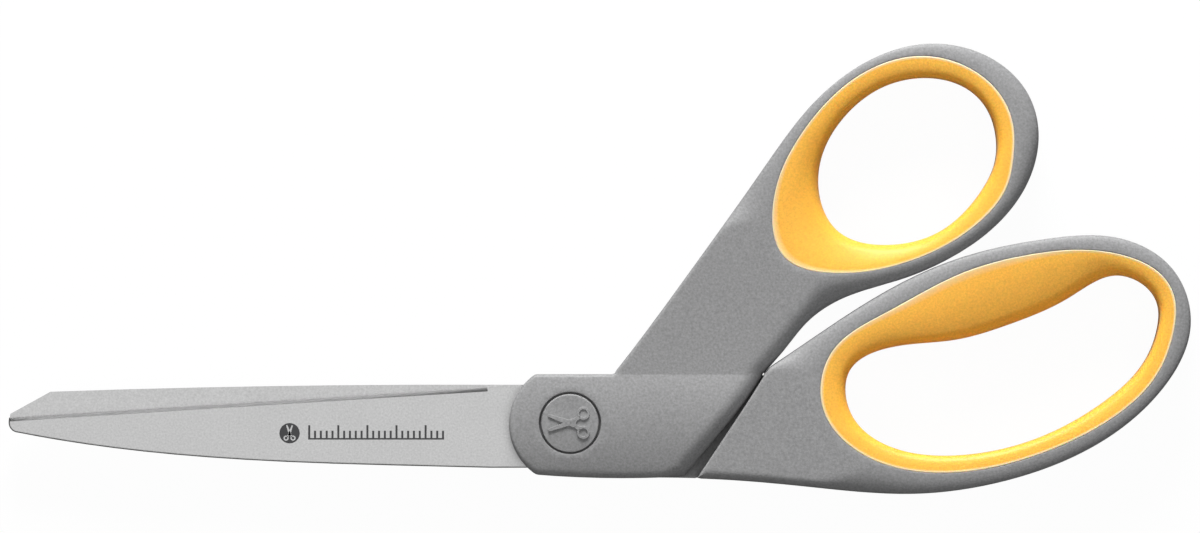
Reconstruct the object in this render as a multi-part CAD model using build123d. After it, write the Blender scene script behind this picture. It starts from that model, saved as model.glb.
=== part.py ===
"""Office scissors with bent handles, eight inches over all. Millimetres.

The scissors lie flat and closed. +X runs from the pivot to the handles, +Y from the finger loop's side to the
thumb loop's side, and +Z is the pivot's axis, from the rear face to the front face. The origin is on the pivot's
axis, in the plane that the rear face rests on. The front half is the lower blade with the thumb loop, and the
rear half is the upper blade with the finger loop. Each half is a steel blade whose tang is moulded into a hard
handle, with a soft grip moulded round the inside of its loop.
"""

from build123d import *
from math import sqrt
import os

# ---- thicknesses, along Z
thick = 11.0                # handles, rear face to front face
mid = thick / 2             # the plane where the two halves slide on each other
steel = 1.8                 # blade stock
blade_gap = 0.03            # each blade's inner face from the middle plane
relief = 0.15               # each handle's inner face from the middle plane
crown_radius = 38.0         # pivot covers are barrels along X
ramp_rise = 1.0             # the front arm is this much thinner on each face where it leaves its cover
ramp_run = 40.0             # and comes back to full thickness over this length

# ---- pivot covers, which both halves share
nose_radius = 10.45
cover_middle = -0.22        # the covers' centre line in Y
cover_top = 8.3
cover_bottom = -8.9         # at the nose
wall_top = 8.5              # underside of the front arm, where it passes the rear cover
inner_corner = (7.45, 8.3)   # where the front arm leaves its cover

# ---- blades
tip_x = -96.5
edge_slope = 0.063          # cutting edge against X, the other way on the rear blade
front_edge_tip = 0.85       # height of the front cutting edge at the tip
rear_edge_tip = -0.25
heel_x = -13.0              # where both cutting edges end
bevel_width = 0.65
spine_round = 0.3           # on the outer face, along the spine and the tip
tang_hole_radius = 1.9      # plastic flows through these and locks the tang
tang_start = 16.0           # the rear tang is pressed thinner from here on, and plastic covers it
tang_step = 0.8

# ---- pivot hardware
shank_radius = 2.5
shank_play = 0.04           # radial, in the front blade
across_flats = 4.2          # the shank's flats, which lock it in the rear blade
thread_radius = 2.0
head_radius = 3.8
head_height = 1.4
washer_radius = 3.9
washer_thick = 0.3
washer_play = 0.03          # between the thrust washer and the front blade
bore_play = 0.06            # radial, in the thrust washer
spring_height = 0.5
spring_stock = 0.25
nut_flats = 7.0
nut_height = 1.6
driver_slot = (1.0, 0.6)    # width and depth of the slot in the screw's head
head_fillet = 0.5

# ---- pivot caps
cap_radius = 4.95
cap_height = 1.5
cap_fillet = 0.25
recess_radius = 5.3
recess_play = 0.05          # under the cap's rim
pocket_radius = 4.5
skirt_play = 0.02
skirt_wall = 0.35
skirt_height = 0.7

# ---- edges and grips
rim_fillet = 1.0
corner_fillet = 0.5
grip_round = 2.2            # how far the grips roll over into their holes
web_thick = 3.2             # hard rib that a grip is moulded round
web_share = 0.45            # how far the rib reaches from the seam to the hole

# ---- outlines, as points on smooth curves
front_outline = [
    (19.7, -9.2), (26.6, -0.8), (30.2, 3.8), (33.8, 9.0), (36.6, 12.2), (40.4, 16.9), (47.9, 21.8),
    (56.5, 24.5), (64.6, 27.9), (73.4, 34.1), (79.0, 42.0), (80.5, 50.0), (78.5, 56.8), (72.9, 62.3),
    (61.4, 65.1), (50.0, 61.5), (40.9, 53.9), (33.7, 44.3), (19.8, 24.8), inner_corner,
]
rear_top_corner = (34.35, 9.5)
rear_outline = [
    (7.0, -9.4), (23.0, -9.6), (41.0, -11.0), (58.9, -12.2), (75.0, -9.9), (90.0, -4.0), (101.8, 5.9),
    (106.6, 16.7), (103.5, 26.4), (94.5, 31.7), (82.0, 31.6), (68.0, 28.6), (57.2, 24.1), (46.8, 17.9),
    rear_top_corner,
]
diagonal_wall = [(21.9, -14.0), (21.9, -9.4), (30.55, 3.6), (34.25, 9.5)]
thumb_seam = [
    (76.3, 47.6), (71.2, 59.2), (60.5, 63.0), (48.6, 59.0), (39.9, 49.9), (34.9, 38.0), (36.8, 28.4),
    (45.4, 25.7), (57.5, 27.5), (69.3, 33.6), (74.5, 39.4),
]
thumb_hole = [
    (73.3, 49.1), (67.1, 58.1), (55.6, 58.4), (47.2, 52.6), (42.7, 42.3), (46.0, 33.0), (55.4, 30.6),
    (64.5, 33.4), (71.2, 40.5),
]
finger_seam = [
    (103.9, 17.0), (101.6, 25.4), (92.7, 29.3), (80.0, 29.1), (66.0, 25.2), (54.7, 19.2), (44.8, 12.0),
    (43.4, 2.4), (49.5, -5.0), (62.6, -8.6), (80.0, -5.6), (95.6, 2.6),
]
finger_hole = [
    (101.3, 17.5), (99.3, 23.2), (94.0, 25.3), (86.0, 21.6), (76.1, 17.1), (66.0, 14.2), (54.5, 12.8),
    (48.1, 9.0), (48.3, 1.6), (55.5, -4.3), (66.0, -5.7), (80.0, -2.9), (92.5, 4.0),
]

nose_top = (-sqrt(nose_radius**2 - (cover_top - cover_middle) ** 2), cover_top)
nose_bottom = (-sqrt(nose_radius**2 - (cover_bottom - cover_middle) ** 2), cover_bottom)
nose_left = (-nose_radius, cover_middle)


# ---- helpers
def slab(face, low, high):
    """A plane face in XY, raised into a solid between two heights."""
    return extrude(Pos(0, 0, low) * face, high - low)


def loop_face(points):
    """The area inside a smooth closed curve."""
    return make_face(Spline(*points, periodic=True))


def polygon(points):
    """The area inside straight edges."""
    return make_face(Polyline(*points, close=True))


def disc(radius, low, high, x=0, y=0):
    """An upright cylinder between two heights."""
    return Pos(x, y, (low + high) / 2) * Cylinder(radius, high - low)


def flip(shape):
    """Turns a shape for the front into the same shape for the rear, about the middle plane."""
    return mirror(shape, Plane.XY.offset(mid))


def between(outer, inner, share):
    """A smooth outline that lies at a share of the way from one closed curve to another."""
    ring = Spline(*inner, periodic=True)
    points = []
    for p in outer:
        start = Vector(*p)
        near = ring.position_at(ring.param_at_point(closest(ring, start)))
        points.append(start + (near - start) * share)
    return points


def closest(edge, point):
    """The point of an edge that lies nearest to a point."""
    return edge.distance_to_with_closest_points(Vertex(point.X, point.Y, point.Z))[1]


# ---- blades
def front_blade_face():
    heel_y = front_edge_tip + edge_slope * (heel_x - tip_x)
    edge = Line((tip_x, front_edge_tip), (heel_x, heel_y))
    tang = Polyline(
        (heel_x, heel_y), (8.0, 6.4), (12.6, 11.4), (24.2, 28.0), (27.4, 29.4), (32.0, 26.0),
        (32.4, 22.6), (24.6, 9.4), (18.0, -4.8), (13.0, -7.7), (-13.8, -7.75),
    )
    spine = Spline((-13.8, -7.75), (-46.4, -6.84), (-74.7, -4.8), (-94.9, -1.7))
    tip = ThreePointArc((-94.9, -1.7), (-96.1, -1.1), (tip_x, 0.0))
    close = Line((tip_x, 0.0), (tip_x, front_edge_tip))
    return make_face([edge, tang, spine, tip, close])


def rear_blade_face():
    heel_y = rear_edge_tip - edge_slope * (heel_x - tip_x)
    tip = (tip_x + 0.1, rear_edge_tip)
    spine = ThreePointArc((-13.8, 6.5), (-46.4, 6.34), (-89.4, 5.3))
    end = Polyline((-89.4, 5.3), (tip_x + 0.2, 1.5), tip, (heel_x, heel_y))
    tang = Polyline(
        (heel_x, heel_y), (-10.0, -7.4), (30.0, -7.6), (38.6, -6.6), (40.4, -4.6), (40.4, 4.6),
        (38.4, 7.0), (33.0, 6.2), (30.0, 6.5), (-13.8, 6.5),
    )
    return make_face([spine, end, tang])


def bevel(tip_height, slope, inner, outer, side):
    """The stock that grinding takes off along a cutting edge, between the blade's inner and outer face."""
    over = 2.0
    reach = bevel_width * (abs(outer - inner) + over) / abs(outer - inner)
    out = outer + (over if outer > inner else -over)
    section = [(0, inner), (-side * reach, out), (side * over, out), (side * over, inner)]
    length = heel_x - tip_x + 2 * over
    plane = Plane(origin=(tip_x - over, tip_height - slope * over, 0), x_dir=(0, 1, 0), z_dir=(1, slope, 0))
    profile = plane * polygon(section)
    return extrude(profile, length * sqrt(1 + slope**2) - over * 1.6)


def ease_spine(stock, outer_face, side):
    """Takes the sharp corner off the spine and the tip of plain stock, along the blade's outer face."""
    edges = [e for e in stock.edges() if abs(e.center().Z - outer_face) < 1e-4]
    return fillet([e for e in edges if side * e.center().Y > 0 and e.center().X < -20], spine_round)


def front_blade():
    low = mid + blade_gap
    body = ease_spine(slab(front_blade_face(), low, low + steel), low + steel, -1)
    body -= bevel(front_edge_tip, edge_slope, low, low + steel, 1)
    body -= disc(shank_radius + shank_play, low - 1, low + steel + 1)
    for x, y in [(19.0, 14.2), (25.6, 22.6)]:
        body -= disc(tang_hole_radius, low - 1, low + steel + 1, x, y)
    return body


def rear_blade():
    high = mid - blade_gap
    body = ease_spine(slab(rear_blade_face(), high - steel, high), high - steel, 1)
    body -= bevel(rear_edge_tip, -edge_slope, high, high - steel, -1)
    body -= locked_shank(high - steel - 1, high + 1)
    for x, y in [(26.0, 0.0), (35.0, 0.6)]:
        body -= disc(tang_hole_radius, high - steel - 1, high + 1, x, y)
    return body - Pos(tang_start + 20, 0, high) * Box(40, 40, 2 * tang_step)


# ---- pivot hardware
def locked_shank(low, high):
    """The part of the shank with two flats, which can't turn in the rear blade."""
    flats = Pos(0, 0, (low + high) / 2) * Box(3 * shank_radius, across_flats, high - low)
    return disc(shank_radius, low, high) & flats


def pivot_screw():
    blade_top = mid + blade_gap + steel
    seat = blade_top + washer_play + washer_thick
    blade_bottom = mid - blade_gap - steel
    end = blade_bottom - spring_height - nut_height
    head = disc(head_radius, seat, seat + head_height)
    head = fillet(head.edges().group_by(Axis.Z)[-1], head_fillet)
    width, depth = driver_slot
    head -= Pos(0, 0, seat + head_height) * Box(3 * head_radius, width, 2 * depth)
    shank = disc(shank_radius, mid - blade_gap, seat)
    flats = locked_shank(blade_bottom, mid - blade_gap)
    stem = disc(thread_radius, end, blade_bottom)
    stem = chamfer(stem.edges().group_by(Axis.Z)[0], 0.3)
    return head + shank + flats + stem


def thrust_washer():
    low = mid + blade_gap + steel + washer_play
    return disc(washer_radius, low, low + washer_thick) - disc(shank_radius + bore_play, low - 1, low + 2)


def spring_washer():
    """A disc spring: a shallow cone of thin stock, wide end on the blade."""
    high = mid - blade_gap - steel
    low = high - spring_height
    inner = thread_radius + 0.15
    section = [
        (washer_radius, high), (washer_radius, high - spring_stock), (inner, low), (inner, low + spring_stock),
    ]
    return revolve(Plane.XZ * polygon(section), Axis.Z)


def pivot_nut():
    high = mid - blade_gap - steel - spring_height
    body = Pos(0, 0, high - nut_height) * extrude(RegularPolygon(nut_flats / 2, 6, major_radius=False), nut_height)
    cone = Pos(0, 0, high - nut_height / 2) * Cone(nut_flats / 2 + 0.15, nut_flats / 2 + 0.95, nut_height)
    return (body & cone) - disc(thread_radius + 0.02, 0, mid)


def cap_blank():
    """A press-in cap for the front cover, with a flat face, before it is shaped."""
    low = thick - cap_height
    cap = disc(cap_radius, low, thick)
    cap = fillet(cap.edges().group_by(Axis.Z)[-1], cap_fillet)
    outside = pocket_radius - skirt_play
    skirt = disc(outside, low - skirt_height, low) - disc(outside - skirt_wall, low - skirt_height, low)
    return cap + skirt


def front_cap():
    return cap_blank() & crown_cylinder()


def rear_cap():
    return flip(cap_blank())


# ---- handles
def crown_cylinder():
    """The barrel that the front cover's face lies on."""
    return Pos(0, cover_middle, thick - crown_radius) * Rot(0, 90, 0) * Cylinder(crown_radius, 400)


def crown_cut(area):
    """What the barrel shape takes off the front face of an area."""
    return slab(area, mid, thick + 2) - crown_cylinder()


def arm_ramp():
    """What makes the front half thinner towards its cover, at the front face."""
    profile = Plane.YZ * polygon(
        [(cover_top - 0.1, thick - ramp_rise), (cover_top + ramp_run, thick), (cover_top + ramp_run, thick + 2),
         (cover_top - 0.1, thick + 2)]
    )
    return Pos(-20, 0, 0) * extrude(profile, 140)


def cap_space():
    """The recess and pocket under a cap, at the front."""
    return disc(recess_radius, thick - cap_height - recess_play, thick + 1) + disc(pocket_radius, mid, thick)


def nose():
    return ThreePointArc(nose_top, nose_left, nose_bottom)


def front_handle_blank():
    bottom = ThreePointArc(nose_bottom, (7.0, -9.5), front_outline[0])
    edge = Spline(*front_outline)
    face = make_face([nose(), bottom, edge, Line(inner_corner, nose_top)])
    return rounded(slab(face, 0, thick))


def rear_handle_blank():
    edge = Spline(nose_bottom, *rear_outline)
    step = Polyline(rear_top_corner, (33.4, cover_top), nose_top)
    return rounded(slab(make_face([nose(), edge, step]), 0, thick))


def rounded(blank):
    """Rounds the upright corners and then both outer edges of a handle."""
    corners = [e for e in blank.edges().filter_by(Axis.Z) if e.center().X < 25]
    blank = fillet(corners, corner_fillet)
    rims = blank.edges().group_by(Axis.Z)
    return fillet(rims[0] + rims[-1], rim_fillet)


def ring(outer, inner, low, high):
    return slab(loop_face(outer), low, high) - slab(loop_face(inner), low, high)


def web(seam, hole):
    """The rib of hard plastic under a grip, from the seam part of the way to the hole."""
    return slab(loop_face(seam), mid - web_thick / 2, mid + web_thick / 2) - slab(
        loop_face(between(seam, hole, web_share)), mid - web_thick, mid + web_thick
    )


def grip(seam, hole):
    """A soft grip: it fills the loop from the seam to the hole, rolls over into the hole and clasps the rib."""
    body = ring(seam, hole, 0, thick)
    faces = body.edges().group_by(Axis.Z)
    rims = [min(edges, key=lambda e: e.length) for edges in (faces[0], faces[-1])]
    return fillet(rims, grip_round) - web(seam, hole)


def front_handle(blade, soft):
    body = front_handle_blank()
    cover_zone = Pos(15, wall_top - 30, 0) * Box(120, 60, 2 * (mid + relief))
    body -= cover_zone
    body -= crown_cut(Pos(15, cover_top - 30.1) * Rectangle(60, 60))
    body -= arm_ramp()
    body -= flip(arm_ramp())
    body -= cap_space()
    body -= slab(loop_face(thumb_seam), -1, thick + 1)
    return body - blade + (web(thumb_seam, thumb_hole) - soft)


def rear_handle(blade, soft):
    body = rear_handle_blank()
    left = diagonal_wall + [(34.25, 20.0), (-20.0, 20.0), (-20.0, -14.0)]
    body -= slab(polygon(left), mid - relief, thick + 1)
    body -= flip(crown_cut(Pos(-9, 0) * Rectangle(60, 60)))
    body -= flip(cap_space())
    body -= slab(loop_face(finger_seam), -1, thick + 1)
    return body - blade + (web(finger_seam, finger_hole) - soft)


# ---- the whole object, one file for each piece
def main():
    os.makedirs("parts", exist_ok=True)
    lower_blade = front_blade()
    upper_blade = rear_blade()
    thumb_grip = grip(thumb_seam, thumb_hole) - arm_ramp() - flip(arm_ramp())
    finger_grip = grip(finger_seam, finger_hole)
    pieces = {
        "front_blade": lower_blade,
        "rear_blade": upper_blade,
        "front_handle": front_handle(lower_blade, thumb_grip),
        "rear_handle": rear_handle(upper_blade, finger_grip),
        "front_grip": thumb_grip,
        "rear_grip": finger_grip,
        "front_cap": front_cap(),
        "rear_cap": rear_cap(),
        "pivot_screw": pivot_screw(),
        "thrust_washer": thrust_washer(),
        "spring_washer": spring_washer(),
        "pivot_nut": pivot_nut(),
    }
    for name, piece in pieces.items():
        solids = piece.solids()
        print(name, len(solids), [round(s.volume, 1) for s in solids])
        export_step(solids[0] if len(solids) == 1 else Compound(children=list(solids)), f"parts/{name}.step")


main()
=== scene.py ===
# %% [markdown]
# # Office scissors
# This lesson dresses a pair of bent-handle office scissors. The engineering model, called the frame here,
# already holds every piece at its real size and place: two blades, two handles, two soft grips, two caps
# and the pivot's screw, nut and washers. The frame never moves. We keep its blades, caps and hardware, give
# them finishes, and we rebuild the moulded pieces with the soft edges and scooped grips that moulding gives
# them.
#
# The first step loads the frame and keeps the box round it, which places the lights and the camera at the
# end.

# %% Load the frame
import bmesh
import bpy
import math
import numpy as np
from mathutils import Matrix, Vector, geometry


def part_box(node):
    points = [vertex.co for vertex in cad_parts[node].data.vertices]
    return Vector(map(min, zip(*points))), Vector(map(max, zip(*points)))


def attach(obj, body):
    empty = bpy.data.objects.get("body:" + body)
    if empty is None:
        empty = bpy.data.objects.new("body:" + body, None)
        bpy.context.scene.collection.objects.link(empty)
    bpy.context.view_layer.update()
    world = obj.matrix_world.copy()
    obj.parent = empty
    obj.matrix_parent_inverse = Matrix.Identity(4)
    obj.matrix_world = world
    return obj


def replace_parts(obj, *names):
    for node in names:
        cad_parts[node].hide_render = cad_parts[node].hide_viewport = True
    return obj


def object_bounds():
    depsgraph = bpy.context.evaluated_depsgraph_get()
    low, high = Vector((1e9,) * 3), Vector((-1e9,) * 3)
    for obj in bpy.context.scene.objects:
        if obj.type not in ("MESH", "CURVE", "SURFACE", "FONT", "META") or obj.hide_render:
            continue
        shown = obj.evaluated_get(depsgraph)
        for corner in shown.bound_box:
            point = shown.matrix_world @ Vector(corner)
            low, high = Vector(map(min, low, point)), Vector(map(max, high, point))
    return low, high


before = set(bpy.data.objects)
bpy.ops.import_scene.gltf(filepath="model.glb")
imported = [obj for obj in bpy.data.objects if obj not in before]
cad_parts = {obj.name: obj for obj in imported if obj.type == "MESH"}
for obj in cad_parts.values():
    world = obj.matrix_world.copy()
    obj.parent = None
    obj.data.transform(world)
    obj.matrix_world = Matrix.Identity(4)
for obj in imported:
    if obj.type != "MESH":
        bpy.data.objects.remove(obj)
cad_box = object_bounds()
MM = 0.001                       # the frame is in metres, and the shapes below are thought out in millimetres
print("frame:", sorted(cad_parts))

# %% [markdown]
# ## Reading outlines from the frame
# A moulded handle is mostly one outline raised to a thickness. The frame already has that outline, so we
# don't draw it again: a level plane cuts the CAD mesh, and the cut edges are chained into closed curves.
# Tracing by hand or a boolean would also work, but the cut is exact and follows the CAD if it changes.

# %% Cut a node at a height
front_cut, rear_cut, grip_cut = 7.6, 2.0, 3.0    # levels through the front cover, rear cover and grips
weld_gap, cut_gap = 1e-7, 1e-8   # in metres: closer points are one, and points nearer the plane are on it


def outlines(node, height):
    """Closed outlines in millimetres where a level plane cuts a node, anticlockwise, the largest first."""
    bm = bmesh.new()
    bm.from_mesh(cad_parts[node].data)
    bmesh.ops.remove_doubles(bm, verts=bm.verts, dist=weld_gap)
    everything = bm.verts[:] + bm.edges[:] + bm.faces[:]
    cut = bmesh.ops.bisect_plane(
        bm, geom=everything, plane_co=(0, 0, height * MM), plane_no=(0, 0, 1), dist=cut_gap)
    joined = {}
    for edge in cut["geom_cut"]:
        if isinstance(edge, bmesh.types.BMEdge):
            a, b = edge.verts
            joined.setdefault(a, []).append(b)
            joined.setdefault(b, []).append(a)
    loops = []
    while joined:
        vert = next(iter(joined))
        loop = []
        while vert in joined:
            loop.append((vert.co.x / MM, vert.co.y / MM))
            onward = [v for v in joined.pop(vert) if v in joined]
            vert = onward[0] if onward else vert
        loops.append(np.array(loop))
    bm.free()
    loops = [loop if area(loop) > 0 else loop[::-1] for loop in loops]
    return sorted(loops, key=area, reverse=True)


def area(loop):
    """Signed area of a closed outline, above zero when it runs anticlockwise."""
    x, y = loop.T
    return float(np.sum(x * np.roll(y, -1) - y * np.roll(x, -1)) / 2)


for node in ("front_handle", "rear_handle"):
    areas = [round(area(loop)) for loop in outlines(node, front_cut)]
    print(f"{node} at {front_cut} mm: outlines of {areas} square mm")

# %% [markdown]
# The cut's points are close together on tight bends and far apart on straight runs. Rounded edges need
# points at an even pace, so each outline is walked again in equal steps. A slight easing along the way
# takes off the facets, as a toolmaker's polish would.

# %% Walk an outline in even steps
step = 0.5                       # between the points of a handle's outline
fine_step = 0.1                  # for the walk that the easing is done on
at_once = 1500                   # points compared with an outline in one go, which keeps the arrays small


def ease(values, step, spread):
    """Values round a closed outline, blurred along it. spread is the blur's reach in millimetres."""
    count = len(values)
    away = np.minimum(np.arange(count), count - np.arange(count)) * step
    weight = np.exp(-0.5 * (away / spread) ** 2)
    smooth = np.fft.ifft(np.fft.fft(values, axis=0).T * np.fft.fft(weight / weight.sum())).real
    return smooth.T


def along(loop):
    """How far round a closed outline each point lies, with the whole length last."""
    closed = np.vstack([loop, loop[:1]])
    return closed, np.r_[0, np.cumsum(np.hypot(*np.diff(closed, axis=0).T))]


def even(loop, step, easing=0.25):
    """The same closed outline with its points a step apart."""
    closed, run = along(loop)
    fine = int(run[-1] / fine_step)
    at = np.arange(fine) * run[-1] / fine
    dense = np.c_[np.interp(at, run, closed[:, 0]), np.interp(at, run, closed[:, 1])]
    closed, run = along(ease(dense, fine_step, easing))
    at = np.linspace(0, run[-1], round(run[-1] / step), endpoint=False)
    return np.c_[np.interp(at, run, closed[:, 0]), np.interp(at, run, closed[:, 1])]


def nearest(points, loop):
    """For each point, its distance to a closed outline and the place along it, counted in outline points."""
    span = np.roll(loop, -1, axis=0) - loop
    gap, place = np.zeros(len(points)), np.zeros(len(points))
    for block in np.array_split(np.arange(len(points)), len(points) // at_once + 1):
        offset = points[block, None] - loop
        share = np.clip((offset * span).sum(2) / (span**2).sum(1), 0, 1)
        miss = offset - share[..., None] * span
        distance = np.hypot(miss[..., 0], miss[..., 1])
        best = distance.argmin(1)
        row = np.arange(len(block))
        gap[block] = distance[row, best]
        place[block] = best + share[row, best]
    return gap, place


def inside(points, loops):
    """Whether each point lies within the area between outlines, by counting crossings."""
    odd = np.zeros(len(points), int)
    x, y = points[:, :1], points[:, 1:]
    for loop in loops:
        (x0, y0), (x1, y1) = loop.T, np.roll(loop, -1, axis=0).T
        crossing = (y0 > y) != (y1 > y)
        rise = np.where(y1 == y0, 1, y1 - y0)
        odd += (crossing & (x < x0 + (x1 - x0) * (y - y0) / rise)).sum(1)
    return odd % 2 == 1


thumb_seam = even(outlines("front_handle", front_cut)[1], step)
finger_seam = even(outlines("rear_handle", rear_cut)[1], step)
print("thumb seam", len(thumb_seam), "points; finger seam", len(finger_seam), "points")

# %% [markdown]
# ## A face with rounded edges
# The front and back of a moulded handle are nearly flat faces whose edges roll over into the walls. The
# roll is wide under the arm and shallow on a thin rim, so a Bevel modifier, with one width for all, doesn't
# fit. Instead the face is a net of triangles over the outline, and each point's height comes from how far
# it is from the edge: within the roll's reach it follows a quarter of an ellipse, and beyond it the face is
# level.
#
# The net needs rows of points close to the edge where the roll bends, and few elsewhere. Blender's
# constrained Delaunay function joins them into triangles and keeps the outlines as edges.

# %% Build the net of a face
sharp_roll = 0.3                 # a roll that reaches less than this needs only two rows
row_share = 0.97                 # a row's point stays if its outline is nowhere nearer than this share of
                                 # the distance that the row keeps
row_gap = 0.1                    # rows keep this far from the other outlines
field_gap = 0.4                  # and the even field of points inside keeps this far from every roll
lift_share = 0.866               # rows of an even triangle net, as a share of its spacing


def inward(loop, side):
    """Unit vectors across an outline, into the material. side is 1 for an outer outline, -1 for a hole's."""
    run = np.roll(loop, -1, axis=0) - np.roll(loop, 1, axis=0)
    run /= np.hypot(*run.T)[:, None]
    return np.c_[-run[:, 1], run[:, 0]] * side


def rounding(points, rims):
    """How far the rolled edges drop below the level face at each point."""
    drop = np.zeros(len(points))
    for loop, reach, depth in rims:
        gap, place = nearest(points, loop)
        at = np.arange(len(loop) + 1)
        r = np.interp(place, at, np.r_[reach, reach[:1]])
        d = np.interp(place, at, np.r_[depth, depth[:1]])
        near = np.clip(gap / r, 0, 1)
        drop += d * (1 - np.sqrt(1 - (1 - near) ** 2))
    return drop


def net(rims, spacing, turns=7, creases=()):
    """Points and triangles of a face. rims are (outline, reach, depth) of each roll, the outer one first."""
    loops = [rim[0] for rim in rims]
    rows = list(loops)
    for k, (loop, reach, _) in enumerate(rims):
        across = inward(loop, 1 if k == 0 else -1)
        steps = turns if reach.max() > sharp_roll else 2
        for angle in np.linspace(0, math.pi / 2, steps + 1)[1:]:
            away = reach * (1 - math.cos(angle))
            row = loop + across * away[:, None]
            clear = (nearest(row, loop)[0] > row_share * away) & inside(row, loops)
            for other in loops[:k] + loops[k + 1:]:
                clear &= nearest(row, other)[0] > row_gap
            rows.append(row[clear])
    low, high = loops[0].min(0), loops[0].max(0)
    columns = np.arange(low[0], high[0], spacing)
    xs, ys = np.meshgrid(columns, np.arange(low[1], high[1], spacing * lift_share))
    xs[1::2] += spacing / 2
    field = np.c_[xs.ravel(), ys.ravel()]
    field = field[inside(field, loops)]
    for loop, reach, _ in rims:
        gap, place = nearest(field, loop)
        field = field[gap > reach[place.astype(int) % len(reach)] + field_gap]
    rows += [field, *creases]
    points = np.vstack(rows)
    edges, start = [], 0
    for loop in loops:
        edges += [(start + i, start + (i + 1) % len(loop)) for i in range(len(loop))]
        start += len(loop)
    made = geometry.delaunay_2d_cdt([Vector(p) for p in points], edges, [], 0, 1e-6)
    places = np.array([v[:] for v in made[0]])
    triangles = np.array([f for f in made[2] if len(f) == 3])
    centres = places[triangles].mean(1)
    new_index = {old: new for new, olds in enumerate(made[3]) for old in olds}
    borders, start = [], 0
    for loop in loops:
        borders.append(np.array([new_index[start + i] for i in range(len(loop))]))
        start += len(loop)
    return places, triangles[inside(centres, loops)], borders


# %% [markdown]
# A solid is then put together from such faces and from walls, which are strips of quads between two rings
# of points. The small class below collects them, welds what meets, turns the faces outward and makes the
# object. Its smooth shading stops at edges sharper than a set angle, so steps and walls stay crisp.

# %% Collect faces and walls into one solid
class Solid:
    """Points in millimetres and faces, on the way to becoming one object."""

    def __init__(self):
        self.points, self.faces, self.marks = [], [], []

    def add(self, places, heights, mark=0.0):
        """Adds points and returns their numbers. A mark is a number that a material can read later."""
        first = sum(len(p) for p in self.points)
        heights = np.broadcast_to(heights, len(places))
        self.points.append(np.c_[places, heights])
        self.marks.append(np.broadcast_to(np.asarray(mark, float), len(places)))
        return np.arange(first, first + len(places))

    def skin(self, places, triangles, heights):
        numbers = self.add(places, heights)
        self.faces += numbers[triangles].tolist()
        return numbers

    def wall(self, *rings):
        """Quads between rings of points that have the same count."""
        for a, b in zip(rings, rings[1:]):
            self.faces += np.c_[a, np.roll(a, -1), np.roll(b, -1), b].tolist()

    def build(self, name, sharp=38):
        mesh = bpy.data.meshes.new(name)
        mesh.from_pydata((np.vstack(self.points) * MM).tolist(), [], self.faces)
        # the marks become the grip lip's painted highlight, which the rubber's material colours pale
        marks = mesh.attributes.new("lip_highlight", "FLOAT", "POINT")
        marks.data.foreach_set("value", np.concatenate(self.marks).astype(np.float32))
        bm = bmesh.new()
        bm.from_mesh(mesh)
        bmesh.ops.remove_doubles(bm, verts=bm.verts, dist=2e-7)
        bmesh.ops.dissolve_degenerate(bm, edges=bm.edges, dist=1e-8)
        bmesh.ops.recalc_face_normals(bm, faces=bm.faces)
        odd_edges = sum(not e.is_manifold for e in bm.edges)
        bm.to_mesh(mesh)
        bm.free()
        mesh.shade_smooth()
        mesh.set_sharp_from_angle(angle=math.radians(sharp))
        piece = bpy.data.objects.new(name, mesh)
        bpy.context.scene.collection.objects.link(piece)
        print(f"{name}: {len(mesh.vertices)} points, {len(mesh.polygons)} faces")
        print(f"    {odd_edges} edges don't join exactly two faces")
        return piece


# %% [markdown]
# ## Sizes of the handles
# Each half's handle is half as thick at the pivot, where its cover passes over the other half, and full
# thickness in the arm and the loop. Heights below are counted from the middle plane, upward on the side of
# the half's own cover, so the front and the rear handle are made by the same steps.

# %% Sizes
low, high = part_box("front_handle")
half_thick = (high.z - low.z) / 2 / MM
mid = low.z / MM + half_thick
relief = 0.15                    # a handle's inner face from the middle plane
crown_radius = 38.0              # the covers are barrels that lie along X
crown_middle = -0.22
cover_top = 8.3                  # where the front arm leaves its cover, with a faint crease
ramp_run = 40.0                  # the front half comes back to full thickness over this length
cap_radius = (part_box("front_cap")[1].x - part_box("front_cap")[0].x) / 2 / MM
recess_radius = cap_radius + 0.35      # leaves the dark ring round the cap
recess_depth = 1.55
pocket_radius = 4.5
rib_half, rib_share = 1.6, 0.45  # the hard rib inside a grip: half its thickness, and its reach to the hole
line_depth, line_half = 0.06, 0.07   # the mould's parting line in the walls: its depth and half its width
print(f"handles are {2 * half_thick:.1f} mm thick about a middle plane at {mid:.2f} mm")


# %% [markdown]
# The covers' faces are slightly barrel-shaped. On the front half the barrel ends in a crease, where the arm
# starts, and the arm swells back to full thickness. On the rear half the barrel fades out along the arm.

# %% Heights of the level faces
barrel_end = 12.0                # the barrel isn't followed beyond this distance from the X axis
fade_start, fade_run = 12.0, 18.0      # along X, where the rear cover's barrel fades out


def swell(share):
    """A smooth change from 0 to 1."""
    share = np.clip(share, 0, 1)
    return share * share * (3 - 2 * share)


def barrel(y):
    return crown_radius - np.sqrt(crown_radius**2 - (y - crown_middle) ** 2)


def front_back_level(points):
    return half_thick - barrel(cover_top) * (1 - swell((points[:, 1] - cover_top) / ramp_run))


def front_cover_level(points):
    y = points[:, 1]
    cover = half_thick - barrel(np.clip(y, -barrel_end, cover_top))
    return np.where(y < cover_top, cover, front_back_level(points))


def rear_cover_level(points):
    x, y = points.T
    fade = swell((x - fade_start) / fade_run)
    return half_thick - barrel(np.clip(y, -barrel_end, barrel_end)) * (1 - fade)


def rear_back_level(points):
    return np.full(len(points), half_thick)


print(f"the barrel falls {barrel(cover_top):.2f} mm from the middle of the cover to the crease")


# %% [markdown]
# How an edge rolls over is a moulder's choice, made edge by edge: tight round the cover, wide and deep
# under the arm where fingers press, and on the loops a shallow crown over most of the rim.

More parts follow.
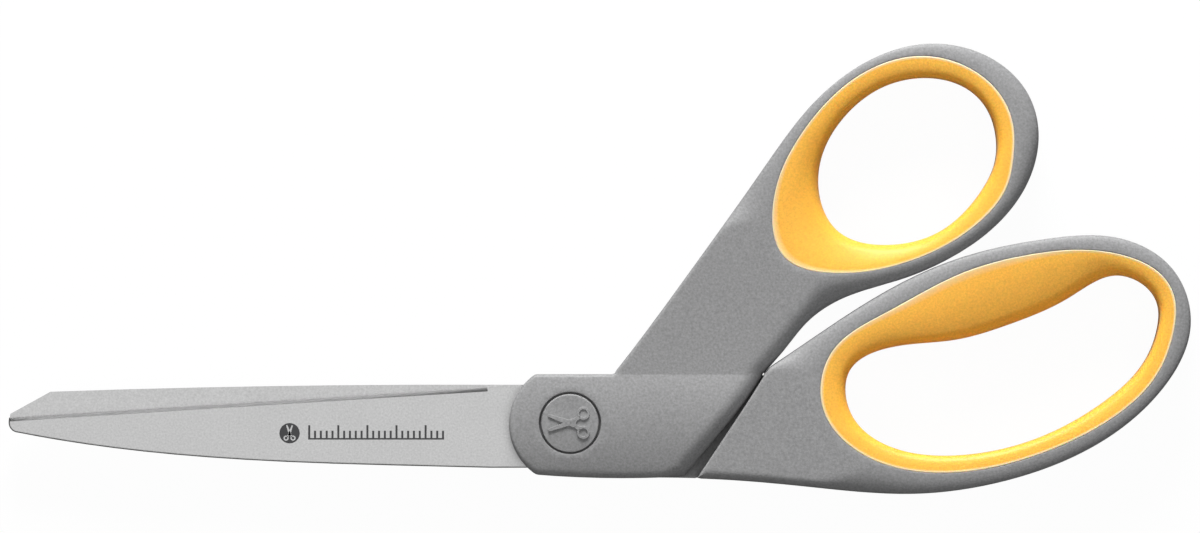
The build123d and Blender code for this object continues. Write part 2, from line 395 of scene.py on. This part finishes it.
# %% Roll of each edge
tight = 0.5                      # the roll's radius on the cover and along the upper edges
crown_share, crown_fall = 0.92, 0.36     # a crown's reach over its rim, and its depth over its reach
widest_crown = 5.5               # wider rims are crowned over this much of their width only
under_way = np.array([0.45, -0.9])       # the way that the arm's lower edge faces
# how well an edge faces that way where the wide roll starts, and where it is full
under_start, under_full = 0.3, 0.8
arm_width, rim_width = 9.0, 5.0  # from the edge to the seam, where the arm ends and the loop's rim begins
below_start = 0.2                # how far an edge of the cover faces down where its roll begins to widen
below_reach, below_depth = 0.9, 0.3      # by how much it widens and deepens
roll_easing = 1.2


def roll(loop, seam, cover_limit, wide, under_fall):
    """Reach and depth of the roll at each point of an outer outline. wide is its radius under the arm."""
    rim = nearest(loop, seam)[0]
    x, y = loop.T
    facing = -inward(loop, 1)
    under = swell((facing @ under_way - under_start) / (under_full - under_start))
    near_loop = swell((arm_width - rim) / (arm_width - rim_width))
    crown = crown_share * np.minimum(rim, widest_crown)
    arm = tight + (wide - tight) * under
    reach = arm + (crown - arm) * near_loop
    fall = crown_fall + (under_fall - crown_fall) * under
    depth = arm + (crown * fall - arm) * near_loop
    on_cover = (x < cover_limit[0]) & (y < cover_limit[1])
    below = swell(-facing[:, 1] - below_start)
    reach = np.where(on_cover, tight + below_reach * below, reach)
    depth = np.where(on_cover, tight + below_depth * below, depth)
    return ease(reach, step, roll_easing), ease(depth, step, roll_easing)


# %% [markdown]
# ## The handles
# A handle has one net on its cover side, over the whole outline, and one on its back, over the arm and the
# loop only. Where the two outlines part company there is a step, and past it the handle is half as thick,
# which leaves room for the other half's cover. The step's line is found by comparing the two cuts.

# %% Find the step between the two outlines
step_easing = 0.02               # next to nothing, so that the step's corners stay sharp
apart = 0.12                     # outlines farther from each other than this have parted
least_shift = 0.15               # the outline's corner lies at least this far past the step's end


def step_line(whole, part):
    """The stretch of the smaller outline that leaves the larger one, from end to end."""
    walked = even(part, step, step_easing)
    off = nearest(walked, whole)[0] > apart
    first = next(i for i in range(len(off)) if off[i] and not off[i - 1])
    turned = np.roll(walked, -first, axis=0)
    off = np.roll(off, -first)
    return turned[: int(np.argmin(off))]


def split(whole, line):
    """The whole outline with the step's two ends among its points, the part behind the step, and the rest."""
    whole = whole.copy()
    reach = [nearest(np.array([end]), whole)[1][0] for end in (line[0], line[-1])]
    first, last = (int(round(r)) % len(whole) for r in reach)
    for index, (end, beyond) in zip((first, last), ((line[0], line[1]), (line[-1], line[-2]))):
        heading = end - beyond
        heading /= np.hypot(*heading)
        span = whole[index] - end
        whole[index] = end + heading * max(least_shift, float(span @ heading))
    order = np.arange(len(whole))
    kept = np.roll(order, -last)[: (first - last) % len(whole) + 1]
    rest = np.roll(order, -first)[: (last - first) % len(whole) + 1]
    return whole, kept, rest


# %% [markdown]
# The grips' holes are matched to the seams point by point, so that a line runs from each seam point to its
# partner on the hole. The four farthest points of the two curves, right, top, left and bottom, are
# partners, and the stretches between them are shared out evenly.

# %% Pair a seam with its hole
def paired(outer, inner):
    """A point of the inner curve for each point of the outer one."""
    def marks(loop):
        closed, run = along(loop)
        x, y = loop.T
        return closed, run, [run[i] for i in (x.argmax(), y.argmax(), x.argmin(), y.argmin())]
    _, outer_run, outer_marks = marks(outer)
    closed, inner_run, inner_marks = marks(inner)
    around = (outer_run[:-1] - outer_marks[0]) % outer_run[-1]
    knots = [(m - outer_marks[0]) % outer_run[-1] for m in outer_marks] + [outer_run[-1]]
    values = [(m - inner_marks[0]) % inner_run[-1] for m in inner_marks] + [inner_run[-1]]
    place = (np.interp(around, knots, values) + inner_marks[0]) % inner_run[-1]
    return np.c_[np.interp(place, inner_run, closed[:, 0]), np.interp(place, inner_run, closed[:, 1])]


hole_step = 0.25
thumb_hole = paired(thumb_seam, even(outlines("front_grip", grip_cut)[1], hole_step))
finger_hole = paired(finger_seam, even(outlines("rear_grip", grip_cut)[1], hole_step))
for name, seam, hole in (("thumb", thumb_seam, thumb_hole), ("finger", finger_seam, finger_hole)):
    widths = np.hypot(*(seam - hole).T)
    print(f"{name} grip is {widths.min():.1f} to {widths.max():.1f} mm wide")


# %% [markdown]
# With these helpers a handle is built from its outside in: the cover side, the back, the outer walls, the
# flat inner face that slides over the other half, the recess that takes the cap, and the rib that holds the
# grip.

# %% Build a handle
seam_radius, recess_rim, step_radius = 0.12, 0.25, 0.35    # small roundings at seam, recess and step
back_easing = 0.5                # blends the step's rounding into the arm's roll
face_spacing = 1.3               # between points inside the outer faces
hidden_radius, hidden_spacing = 0.05, 2.5      # the inner face isn't seen, so its net is coarse


def same_roll(loop, radius):
    """An outline with one small rounding all along."""
    return loop, np.full(len(loop), radius), np.full(len(loop), radius)


def circle(radius, count=120):
    angle = np.linspace(0, 2 * math.pi, count, endpoint=False)
    return np.c_[np.cos(angle), np.sin(angle)] * radius


def make_handle(name, whole, part, seam, hole, cover_level, back_level, side, cover_limit, under, crease=()):
    """A handle from its larger and its smaller outline.

    side is 1 when its cover faces the front and -1 when it faces the rear. cover_limit is the X and Y where
    the cover's roll ends. under is the radius and fall of the roll under the arm.
    """
    line = step_line(whole, part)
    whole, kept, rest = split(even(whole, step), line)
    part = np.vstack([whole[kept], line])
    reach, depth = roll(whole, seam, cover_limit, *under)
    recess, pocket = circle(recess_radius), circle(pocket_radius)
    solid = Solid()

    def put(places, height):
        return solid.add(places, mid + side * np.broadcast_to(height, len(places)))

    # the cover side, over the whole outline
    rims = [(whole, reach, depth), same_roll(seam, seam_radius), same_roll(recess, recess_rim)]
    places, triangles, (rim, seam_top, recess_top) = net(rims, face_spacing, creases=crease)
    cover_height = cover_level(places) - rounding(places, rims)
    cover = solid.skin(places, triangles, mid + side * cover_height)
    solid.wall(cover[rim], put(whole, relief))
    # the back, over the arm and the loop
    small = np.full(len(line), step_radius)
    back_reach = ease(np.r_[reach[kept], small], step, back_easing)
    back_depth = ease(np.r_[depth[kept], small], step, back_easing)
    back_rims = [(part, back_reach, back_depth), same_roll(seam, seam_radius)]
    places, triangles, (back_rim, seam_back) = net(back_rims, face_spacing)
    back = solid.skin(places, triangles, mid - side * (back_level(places) - rounding(places, back_rims)))
    # walls, with the parting line at the middle plane
    sunk = part + inward(part, 1) * np.r_[np.full(len(kept), line_depth), np.zeros(len(line))][:, None]
    solid.wall(put(part, relief), put(part, line_half), put(sunk, 0.0), put(part, -line_half), back[back_rim])
    # the flat inner face of the cover, with the pocket through it
    inner = np.vstack([whole[rest], line[::-1]])
    inner_rims = [same_roll(loop, hidden_radius) for loop in (inner, pocket)]
    places, triangles, (_, pocket_low) = net(inner_rims, hidden_spacing)
    flat = solid.skin(places, triangles, mid + side * relief)
    # the recess and the pocket under the cap
    ledge = half_thick - recess_depth
    solid.wall(cover[recess_top], put(recess, ledge), put(pocket, ledge), flat[pocket_low])
    # the wall along the seam, and the rib that the grip is moulded round
    rib = seam + (hole - seam) * rib_share
    solid.wall(cover[seam_top], put(seam, rib_half), put(rib, rib_half), put(rib, -rib_half),
               put(seam, -rib_half), back[seam_back])
    return solid.build(name)


# %% [markdown]
# The front cover's crease is marked in its net by three close rows of points, so that the barrel and the
# arm meet in a line. The two handles differ in the width of the roll under the arm and in how far their
# covers reach.

# %% Make both handles
crease_start, crease_end, crease_half = 9.0, 31.0, 0.12
crease_x = np.arange(crease_start, crease_end, step)
crease_lifts = (-crease_half, 0.0, crease_half)
crease = [np.c_[crease_x, np.full_like(crease_x, cover_top + lift)] for lift in crease_lifts]
front_high, front_low = (outlines("front_handle", cut)[0] for cut in (front_cut, rear_cut))
rear_high, rear_low = (outlines("rear_handle", cut)[0] for cut in (front_cut, rear_cut))
front_shell = make_handle(
    "front_handle_moulding", front_high, front_low, thumb_seam, thumb_hole,
    front_cover_level, front_back_level, side=1, cover_limit=(18.0, 8.6), under=(3.0, 0.8), crease=crease)
rear_shell = make_handle(
    "rear_handle_moulding", rear_low, rear_high, finger_seam, finger_hole,
    rear_cover_level, rear_back_level, side=-1, cover_limit=(20.0, 8.6), under=(1.6, 0.42))
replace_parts(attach(front_shell, "front_half"), "front_handle")
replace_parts(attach(rear_shell, "rear_half"), "rear_handle")

# %% [markdown]
# ## The grips
# The soft grips start at the seam with a thin lip, flush with the hard plastic, and fall in a long curve to
# the wall of the hole: a scoop that steepens slowly, then a bend. Each is a closed ring, so a cross-section
# swept round the loop makes it. The section's points lie on the lines from seam to hole, which stretches
# the scoop over the wide finger rest. On the narrow sides the bend's radius is half the width, so that they
# look like a round cord.

# %% Build a grip
lip_width = 0.3
# for each row of the lip: its place across the lip's width, its drop, and how much painted highlight it gets
lip_shape = ((0, 0.12, 1.0), (0.15, 0.03, 1.0), (0.5, 0.0, 1.0), (1.0, 0.03, 0.6))
scoop_drop = 0.05                # below the hard plastic, where the scoop begins
end_slope = math.radians(15)     # tilt of the scoop where its last bend into the hole begins
bend_radius, bend_share = 3.0, 0.5     # the bend's radius, and its limit as a share of the grip's width
scoop_rows, bend_rows = 8, 9


def make_grip(name, seam, hole, level):
    width = np.hypot(*(seam - hole).T)
    face = level(seam)
    bend = np.minimum(bend_radius, bend_share * width)
    run = width - bend * (1 - math.sin(end_slope))
    solid = Solid()

    def ring(away, height, side, mark=0.0):
        """Points at a distance from the seam towards the hole."""
        places = seam + (hole - seam) * (away / width)[:, None]
        return solid.add(places, mid + side * height, mark)

    def slope(side):
        # the lip's rows carry the mark of the painted highlight along the seam
        rows = [ring(away * lip_width, face - drop, side, painted_highlight) for away, drop, painted_highlight in lip_shape]
        for share in np.linspace(0, 1, scoop_rows)[1:]:
            away = lip_width + (run - lip_width) * share
            fall = math.tan(end_slope) * (away - lip_width) ** 2 / (2 * (run - lip_width))
            rows.append(ring(away, face - scoop_drop - fall, side))
        for angle in np.linspace(end_slope, math.pi / 2, bend_rows)[1:]:
            turn = bend * (math.cos(end_slope) - math.cos(angle))
            away = run + bend * (math.sin(angle) - math.sin(end_slope))
            rows.append(ring(away, face - scoop_drop - fall - turn, side))
        return rows

    front, back = slope(1), slope(-1)
    solid.wall(*front, ring(width, 0.0, 1), *back[::-1])
    solid.wall(back[0], ring(0, rib_half, -1), ring(rib_share * width, rib_half, -1),
               ring(rib_share * width, rib_half, 1), ring(0, rib_half, 1), front[0])
    return solid.build(name, 60)


front_soft = make_grip("thumb_grip_moulding", thumb_seam, thumb_hole, front_back_level)
rear_soft = make_grip("finger_grip_moulding", finger_seam, finger_hole, rear_back_level)
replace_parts(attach(front_soft, "front_half"), "front_grip")
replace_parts(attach(rear_soft, "rear_half"), "rear_grip")

# %% [markdown]
# ## Marks
# The cap carries a small raised sign and the blade a printed one. Both are a plain pair of open scissors.
# Each half is drawn from three outlines: a tapered blade, a short shank and a finger ring. They could be an
# image, but solid outlines stay crisp at any size and need no file.

# %% Draw the sign
def bar(start, end, wide, narrow):
    """A tapered bar with a rounded wide end, anticlockwise."""
    start, end = np.array(start, float), np.array(end, float)
    ahead = (end - start) / np.hypot(*(end - start))
    aside = np.array([-ahead[1], ahead[0]])
    around = np.linspace(0, math.pi, 9)
    heel = [start + wide * (math.cos(a) * aside - math.sin(a) * ahead) for a in around]
    tip = [end - narrow * (math.cos(a) * aside - math.sin(a) * ahead) for a in around]
    loop = np.array(heel + tip)
    return loop if area(loop) > 0 else loop[::-1]


blade_heel, blade_point, shank_half = 0.14, 0.08, 0.1      # half widths, as shares of the sign's size
ring_outer, ring_inner, ring_points = 0.29, 0.15, 40
# the blade starts this share of the way from pivot to ring, the shank this share from ring to pivot
blade_start, shank_start = 0.16, 0.42


def sign(size):
    """Outlines of an open pair of scissors within a circle of this radius, as (outer, hole or None)."""
    shapes = []
    pivot = np.array([0.0, -0.08])
    for hand in (-1, 1):
        tip = np.array([0.30 * hand, 0.86])
        eye = np.array([-0.40 * hand, -0.56])
        shapes.append((bar(pivot + blade_start * (eye - pivot), tip, blade_heel, blade_point), None))
        shapes.append((bar(eye + shank_start * (pivot - eye), pivot, shank_half, shank_half), None))
        shapes.append((circle(ring_outer, ring_points) + eye, circle(ring_inner, ring_points) + eye))
    return [(outer * size, None if hole is None else hole * size) for outer, hole in shapes]


# %% [markdown]
# Each outline is raised into a low closed relief: a top, a bottom at or just under the surface it stands
# on, and slanting sides, which catch the light. The sign on the cap lies along the blades.

# %% Raise the sign on the cap
flat_roll, no_field = 0.01, 50   # next to no roll, and a spacing too wide to put points inside a relief


def raise_sign(solid, shapes, centre, face, root, height, slant):
    """Adds outlines as low closed reliefs with slanting sides. face gives the height they stand on."""
    for outer, hole in shapes:
        loops = [outer + centre] if hole is None else [outer + centre, hole + centre]
        tops = [loop + inward(loop, 1 if k == 0 else -1) * slant for k, loop in enumerate(loops)]
        skins = []
        for rings, lift in ((loops, -root), (tops, height)):
            rims = [same_roll(ring, flat_roll) for ring in rings]
            places, triangles, borders = net(rims, no_field, turns=1)
            numbers = solid.skin(places, triangles, face(places) + lift)
            skins.append([numbers[border] for border in borders])
        for low_ring, high_ring in zip(*skins):
            solid.wall(low_ring, high_ring)


def cap_face(places):
    return mid + half_thick - barrel(places[:, 1])


def quarter_turn(shapes):
    """The same outlines, turned so that what pointed up points left, along the blades."""
    turn = np.array([[0.0, 1.0], [-1.0, 0.0]])
    return [(outer @ turn, None if hole is None else hole @ turn) for outer, hole in shapes]


emblem = Solid()
raise_sign(emblem, quarter_turn(sign(4.1)), np.zeros(2), cap_face, root=0.15, height=0.28, slant=0.11)
cap_sign = emblem.build("cap_sign", 20)
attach(cap_sign, "front_half")

# %% [markdown]
# The print is a thin layer of ink on the front blade: a disc with the sign left clear, in steel colour, and
# a short scale of millimetre ticks, longer at every fifth.

# %% Print on the blade
blade_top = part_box("front_blade")[1].z / MM
disc_centre, disc_radius = np.array([-48.2, -1.8]), 1.75
scale_start, scale_step, scale_count = -45.0, 1.0, 24
scale_foot, tick_width = -2.9, 0.36
base_height, short_tick, long_tick = 0.28, 1.25, 2.2
ink_root, ink_height, ink_slant = 0.01, 0.012, 0.005
clear_height, clear_slant = 0.018, 0.003      # the clear sign stands just above the ink


def blade_face(places):
    return np.full(len(places), blade_top)


def stripe(x, y, width, height):
    return np.array([[x, y], [x + width, y], [x + width, y + height], [x, y + height]])


ink = Solid()
raise_sign(ink, [(circle(disc_radius, 64), None)], disc_centre, blade_face, ink_root, ink_height, ink_slant)
length = (scale_count - 1) * scale_step + tick_width
marks = [stripe(scale_start, scale_foot, length, base_height)]
for i in range(scale_count):
    tall = long_tick if i % 5 == 0 else short_tick
    marks.append(stripe(scale_start + i * scale_step, scale_foot + base_height, tick_width, tall))
raise_sign(ink, [(mark, None) for mark in marks], np.zeros(2), blade_face, ink_root, ink_height, ink_slant)
blade_ink = ink.build("blade_ink", 20)
clear = Solid()
raise_sign(clear, sign(1.5), disc_centre, blade_face, 0.0, clear_height, clear_slant)
ink_sign = clear.build("ink_sign", 20)
for piece in (blade_ink, ink_sign):
    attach(piece, "front_half")

# %% [markdown]
# ## Finishes
# Several finishes share two effects, so each effect is a node group with its own inputs. The first is
# grain: a fine noise that gives a height for bump, a small change of roughness and light and dark flecks.
# The second is drift, the slow, cloudy change of tone that any moulded or coated part has.

# %% Node groups
def new_group(name, inputs, outputs):
    group = bpy.data.node_groups.new(name, "ShaderNodeTree")
    for label, value in inputs:
        socket = group.interface.new_socket(label, in_out="INPUT", socket_type="NodeSocketFloat")
        socket.default_value = value
    for label in outputs:
        group.interface.new_socket(label, in_out="OUTPUT", socket_type="NodeSocketFloat")
    return group, group.nodes.new("NodeGroupInput"), group.nodes.new("NodeGroupOutput")


def math_node(tree, operation, a, b):
    node = tree.nodes.new("ShaderNodeMath")
    node.operation = operation
    for socket, value in zip(node.inputs, (a, b)):
        if isinstance(value, (int, float)):
            socket.default_value = value
        else:
            tree.links.new(value, socket)
    return node.outputs[0]


def grain_group():
    """Fine surface grain. Size is in millimetres."""
    group, given, out = new_group(
        "fine grain", [("Size", 0.3), ("Rough", 0.5), ("Rough change", 0.1), ("Speckle", 0.1)],
        ["Height", "Roughness", "Factor"])
    place = group.nodes.new("ShaderNodeTexCoord")
    noise = group.nodes.new("ShaderNodeTexNoise")
    noise.inputs["Detail"].default_value = 3.0
    noise.inputs["Roughness"].default_value = 0.6
    group.links.new(place.outputs["Object"], noise.inputs["Vector"])
    group.links.new(math_node(group, "DIVIDE", 1 / MM, given.outputs["Size"]), noise.inputs["Scale"])
    group.links.new(noise.outputs["Fac"], out.inputs["Height"])
    centred = math_node(group, "SUBTRACT", noise.outputs["Fac"], 0.5)
    change = math_node(group, "MULTIPLY", centred, given.outputs["Rough change"])
    group.links.new(math_node(group, "ADD", given.outputs["Rough"], change), out.inputs["Roughness"])
    fleck = math_node(group, "MULTIPLY", centred, given.outputs["Speckle"])
    group.links.new(math_node(group, "ADD", 1.0, fleck), out.inputs["Factor"])
    return group


def drift_group():
    """Cloudy change about 1, for multiplying a colour. Size is in millimetres."""
    group, given, out = new_group("tone drift", [("Size", 12.0), ("Amount", 0.05)], ["Factor"])
    place = group.nodes.new("ShaderNodeTexCoord")
    noise = group.nodes.new("ShaderNodeTexNoise")
    noise.inputs["Detail"].default_value = 4.0
    group.links.new(place.outputs["Object"], noise.inputs["Vector"])
    group.links.new(math_node(group, "DIVIDE", 1 / MM, given.outputs["Size"]), noise.inputs["Scale"])
    centred = math_node(group, "SUBTRACT", noise.outputs["Fac"], 0.5)
    change = math_node(group, "MULTIPLY", centred, given.outputs["Amount"])
    group.links.new(math_node(group, "ADD", 1.0, change), out.inputs["Factor"])
    return group


grain, drift = grain_group(), drift_group()
print("effects:", grain.name, "and", drift.name)


# %% [markdown]
# A material starts from the same few steps: a Principled shader, a colour with drift, and grain for its
# roughness and bump. The function below takes those steps, and each finish then sets what is its own.

# %% The common start of a material
def place_group(tree, group, **values):
    node = tree.nodes.new("ShaderNodeGroup")
    node.node_tree = group
    for label, value in values.items():
        node.inputs[label.replace("_", " ")].default_value = value
    return node


def tinted(tree, colour, factor):
    """The colour, three numbers or a socket, multiplied by a factor that changes over the surface."""
    mix = tree.nodes.new("ShaderNodeMix")
    mix.data_type, mix.blend_type = "RGBA", "MULTIPLY"
    mix.inputs["Factor"].default_value = 1.0
    if isinstance(colour, tuple):
        mix.inputs["A"].default_value = (*colour, 1)
    else:
        tree.links.new(colour, mix.inputs["A"])
    tree.links.new(factor, mix.inputs["B"])
    return mix.outputs["Result"]


def start_finish(name, colour, rough, size, depth,
                 rough_change=0.1, speckle=0.1, amount=0.05, drift_size=12.0):
    """A Principled material with grain and drift. size and depth of the grain are in millimetres."""
    material = bpy.data.materials.new(name)
    material.use_nodes = True
    tree = material.node_tree
    shader = tree.nodes["Principled BSDF"]
    texture = place_group(tree, grain, Size=size, Rough=rough, Rough_change=rough_change, Speckle=speckle)
    cloud = place_group(tree, drift, Size=drift_size, Amount=amount)
    bump = tree.nodes.new("ShaderNodeBump")
    bump.inputs["Distance"].default_value = depth * MM
    bump.inputs["Strength"].default_value = 1.0
    tree.links.new(texture.outputs["Height"], bump.inputs["Height"])
    tree.links.new(bump.outputs["Normal"], shader.inputs["Normal"])
    tree.links.new(texture.outputs["Roughness"], shader.inputs["Roughness"])
    flecked = tinted(tree, colour, texture.outputs["Factor"])
    tree.links.new(tinted(tree, flecked, cloud.outputs["Factor"]), shader.inputs["Base Color"])
    return material, tree, shader


def blend_colour(tree, shader, factor, colour):
    """Mixes a second colour over a material's own where the factor is 1."""
    mix = tree.nodes.new("ShaderNodeMix")
    mix.data_type = "RGBA"
    mix.inputs["B"].default_value = (*colour, 1)
    tree.links.new(factor, mix.inputs["Factor"])
    tree.links.new(shader.inputs["Base Color"].links[0].from_socket, mix.inputs["A"])
    tree.links.new(mix.outputs["Result"], shader.inputs["Base Color"])


# %% [markdown]
# The hard plastic has a fine eroded texture, so it is dull and its flecks are strong. The soft rubber lets
# a little light in, which is subsurface scattering, and its thin lip is painted pale cream, a painted
# highlight along the seam. The lip is found by the mark that the grip's builder left on its points.

# %% Plastic and rubber
def grey_finish():
    material, _, shader = start_finish(
        "grey hard plastic", (0.245, 0.245, 0.247), rough=0.55, size=0.4, depth=0.03,
        speckle=0.9, amount=0.06)
    shader.inputs["Specular IOR Level"].default_value = 0.3
    return material


def amber_finish():
    material, tree, shader = start_finish(
        "amber soft rubber", (0.9, 0.465, 0.055), rough=0.5, size=0.35, depth=0.02, speckle=0.6, amount=0.1,
        drift_size=6.0)
    lip_highlight = tree.nodes.new("ShaderNodeAttribute")
    lip_highlight.attribute_name = "lip_highlight"
    # painted highlight: the lip is coloured pale cream, standing in for the light that catches the seam's
    # edge
    blend_colour(tree, shader, lip_highlight.outputs["Fac"], (1.0, 0.72, 0.45))
    shader.inputs["Specular IOR Level"].default_value = 0.35
    shader.inputs["Sheen Weight"].default_value = 0.1
    shader.inputs["Subsurface Weight"].default_value = 0.5
    shader.inputs["Subsurface Radius"].default_value = (1.0, 0.4, 0.15)
    shader.inputs["Subsurface Scale"].default_value = 1.5 * MM
    return material


# %% [markdown]
# The blades have a satin coating. Their ground bevels get a painted shade: they are coloured dark grey in
# place of the dark that they reflect. The bevels' faces could be picked one by one, but here the material
# tells them from the flat faces and the upright walls by their slope. The hardware at the pivot is bright
# steel, and the print is a dull black.

# %% Steel and ink
bevel_tilt = 0.35                # Z of a bevel's normal, roughly: the flat faces have 1, upright walls 0
mask_reach = 0.45                # the mask's height at that Z, falling off evenly to both sides
mask_start, mask_full = 0.15, 0.25     # heights between which it fades in


def steel_finish(name, colour, rough, size, depth, speckle=0.12):
    material, _, shader = start_finish(
        name, colour, rough, size, depth, rough_change=0.15, speckle=speckle, amount=0.08, drift_size=8.0)
    shader.inputs["Metallic"].default_value = 1.0
    return material


def blade_finish():
    """Satin coated steel, with a painted shade on the bevels. A bevel's normal has a Z between the walls' 0
    and the flat faces' 1.
    """
    material = steel_finish(
        "coated blade steel", (0.54, 0.54, 0.54), rough=0.42, size=0.35, depth=0.012, speckle=0.6)
    tree = material.node_tree
    shader = tree.nodes["Principled BSDF"]
    around = tree.nodes.new("ShaderNodeNewGeometry")
    split_up = tree.nodes.new("ShaderNodeSeparateXYZ")
    bevel_shade = tree.nodes.new("ShaderNodeMapRange")
    bevel_shade.inputs["From Min"].default_value = mask_start
    bevel_shade.inputs["From Max"].default_value = mask_full
    tree.links.new(around.outputs["True Normal"], split_up.inputs[0])
    level = math_node(tree, "ABSOLUTE", split_up.outputs["Z"], 0)
    away = math_node(tree, "ABSOLUTE", math_node(tree, "SUBTRACT", level, bevel_tilt), 0)
    tree.links.new(math_node(tree, "SUBTRACT", mask_reach, away), bevel_shade.inputs["Value"])
    # painted shade: the bevels are coloured dark grey in place of the dark that they reflect
    blend_colour(tree, shader, bevel_shade.outputs["Result"], (0.13, 0.13, 0.13))
    return material


def ink_finish():
    return start_finish("black print", (0.03, 0.03, 0.032), rough=0.55, size=0.15, depth=0.004, amount=0.3)[0]


# %% [markdown]
# Each piece then gets one finish. The slots name the finishes for whoever uses the part, and all pieces of
# one material share a slot.

# %% Dress the pieces
grey, amber = grey_finish(), amber_finish()
coated = blade_finish()
bright = steel_finish("bright steel", (0.60, 0.60, 0.61), rough=0.25, size=0.5, depth=0.003)
black = ink_finish()
print("finishes:", [m.name for m in (grey, amber, coated, bright, black)])


def dress(piece, material):
    piece.data.materials.clear()
    piece.data.materials.append(material)


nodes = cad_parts
for piece in (front_shell, rear_shell, nodes["front_cap"], nodes["rear_cap"], cap_sign):
    dress(piece, grey)
for piece in (front_soft, rear_soft):
    dress(piece, amber)
for piece in (nodes["front_blade"], nodes["rear_blade"], ink_sign):
    dress(piece, coated)
for node in ("pivot_screw", "pivot_nut", "thrust_washer", "spring_washer"):
    dress(nodes[node], bright)
dress(blade_ink, black)

# %% [markdown]
# ## Stage, lights and camera
# The scissors lie on a plain white floor. The floor glows to the eye, so that it stays white all over, and
# it is grey for every other ray, so that it throws little light back on the walls. The Light Path node
# tells the two apart.

# %% Floor
glow_share = 0.97                # of what the eye gets from the floor: the rest is lit paper
floor_gap = 0.05 * MM            # keeps the floor off the face that the scissors lie on


def floor_finish():
    """Paper that stays white to the eye, and throws less light back on the walls of the scissors."""
    material = bpy.data.materials.new("pale floor")
    material.use_nodes = True
    tree = material.node_tree
    tree.nodes.remove(tree.nodes["Principled BSDF"])
    paths = tree.nodes.new("ShaderNodeLightPath")
    paper = tree.nodes.new("ShaderNodeBsdfDiffuse")
    card = tree.nodes.new("ShaderNodeBsdfDiffuse")
    glow = tree.nodes.new("ShaderNodeEmission")
    paper.inputs["Color"].default_value = (0.9, 0.9, 0.9, 1)
    card.inputs["Color"].default_value = (0.22, 0.22, 0.22, 1)
    glow.inputs["Color"].default_value = (1, 1, 1, 1)
    seen, mixed = tree.nodes.new("ShaderNodeMixShader"), tree.nodes.new("ShaderNodeMixShader")
    seen.inputs["Fac"].default_value = glow_share
    tree.links.new(paper.outputs[0], seen.inputs[1])
    tree.links.new(glow.outputs[0], seen.inputs[2])
    tree.links.new(paths.outputs["Is Camera Ray"], mixed.inputs["Fac"])
    tree.links.new(card.outputs[0], mixed.inputs[1])
    tree.links.new(seen.outputs[0], mixed.inputs[2])
    tree.links.new(mixed.outputs[0], tree.nodes["Material Output"].inputs["Surface"])
    return material


def make_floor(size=3.0):
    mesh = bpy.data.meshes.new("floor")
    h = size / 2
    corners = [(x * h, y * h, -floor_gap) for x, y in ((-1, -1), (1, -1), (1, 1), (-1, 1))]
    mesh.from_pydata(corners, [], [(0, 1, 2, 3)])
    mesh.materials.append(floor_finish())
    floor = bpy.data.objects.new("floor", mesh)
    bpy.context.scene.collection.objects.link(floor)


make_floor()

# %% [markdown]
# A low soft key light from the thumb loop's side shows the barrel of the cover and the scoops of the grips,
# and a large soft light overhead gives the satin blades something to reflect. A dim white world fills the
# shadows.

# %% Lights
def soft_light(name, azimuth, height, distance, size, power):
    """A round soft light. azimuth from +X and height above the floor are angles in degrees."""
    data = bpy.data.lights.new(name, "AREA")
    data.shape, data.size, data.energy = "DISK", size, power
    turn, lift = math.radians(azimuth), math.radians(height)
    way = Vector((math.cos(turn) * math.cos(lift), math.sin(turn) * math.cos(lift), math.sin(lift)))
    light = bpy.data.objects.new(name, data)
    light.location = centre + way * distance
    light.rotation_mode = "QUATERNION"
    light.rotation_quaternion = way.to_track_quat("Z", "Y")
    bpy.context.scene.collection.objects.link(light)
    return light


low, high = cad_box
centre = (low + high) / 2
soft_light("key", azimuth=92, height=24, distance=0.95, size=0.45, power=18)
soft_light("overhead", azimuth=270, height=82, distance=2.8, size=3.6, power=33)
world = bpy.data.worlds.new("studio")
bpy.context.scene.world = world
world.use_nodes = True
world.node_tree.nodes["Background"].inputs["Color"].default_value = (1, 1, 1, 1)
world.node_tree.nodes["Background"].inputs["Strength"].default_value = 0.11
print("lights:", [item.name for item in bpy.data.lights], "and the world")

# %% [markdown]
# The camera looks straight down from far away, through a long lens, so that the outline isn't distorted.
# The lens's length follows from the width to be seen at the height of the handles' upper faces.

# %% Camera
view_share = 1.0148              # the width seen, over the width of the scissors
distance, seen_below_top = 2.4, 0.002
aside, up = 0.0001, 0.0004       # small shifts that centre the outline
sensor = 36                      # the film's width, in millimetres like the lens
view_width = (high.x - low.x) * view_share
camera = bpy.data.objects.new("camera", bpy.data.cameras.new("camera"))
camera.location = (centre.x + aside, centre.y + up, high.z - seen_below_top + distance)
camera.data.sensor_width = sensor
camera.data.lens = sensor * distance / view_width
bpy.context.scene.collection.objects.link(camera)
bpy.context.scene.camera = camera
bpy.context.scene.view_settings.view_transform = "Standard"
print(f"the picture is {view_width / MM:.0f} mm wide, through a {camera.data.lens:.0f} mm lens")
